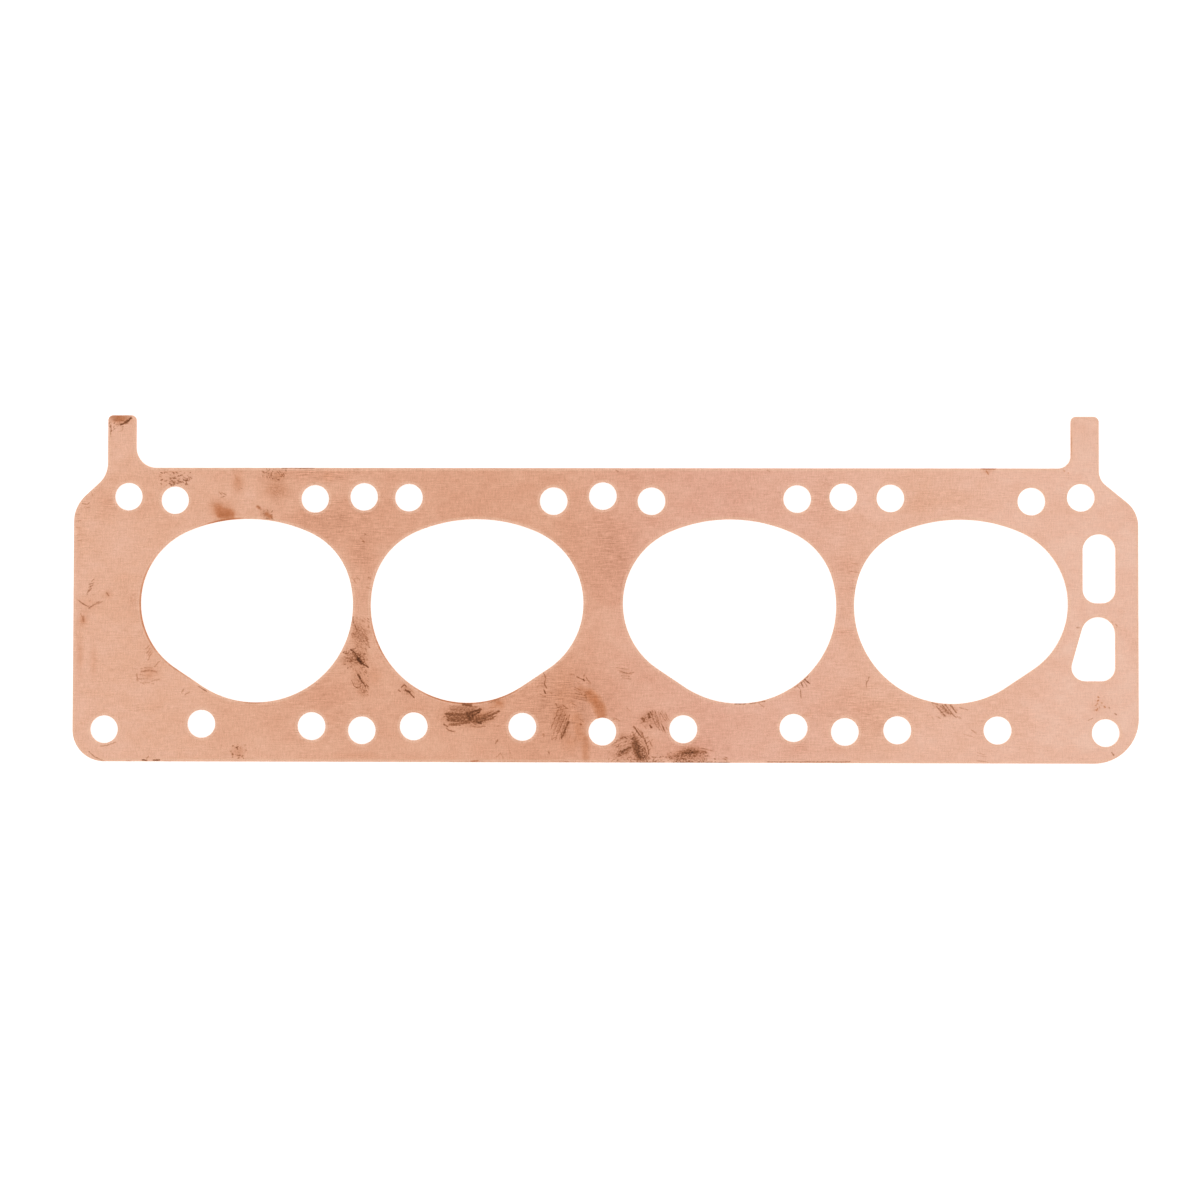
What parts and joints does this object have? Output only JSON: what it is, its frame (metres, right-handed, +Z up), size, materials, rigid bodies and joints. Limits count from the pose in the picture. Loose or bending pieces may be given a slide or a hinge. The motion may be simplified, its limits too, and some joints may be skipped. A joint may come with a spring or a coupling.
{
  "type": "cylinder head gasket",
  "caption": "Flat solid copper gasket sheet that seals an inline cylinder head to its block, with openings for cylinders, studs, pushrods and coolant.",
  "frame": {"origin": "on the block face, on the line of the cylinder centres, halfway between the two middle cylinders", "axes": "+X along the engine towards the end with the two coolant slots, +Y across it towards the pushrod side with the two tabs, +Z up from the block face to the head face"},
  "size_m": [0.4153, 0.1354, 0.0011],
  "materials": {
    "copper_sheet": "annealed rolled copper, satin, handled and lightly stained"
  },
  "bodies": {
    "root": {"head_gasket": "copper_sheet"}
  },
  "joints": []
}
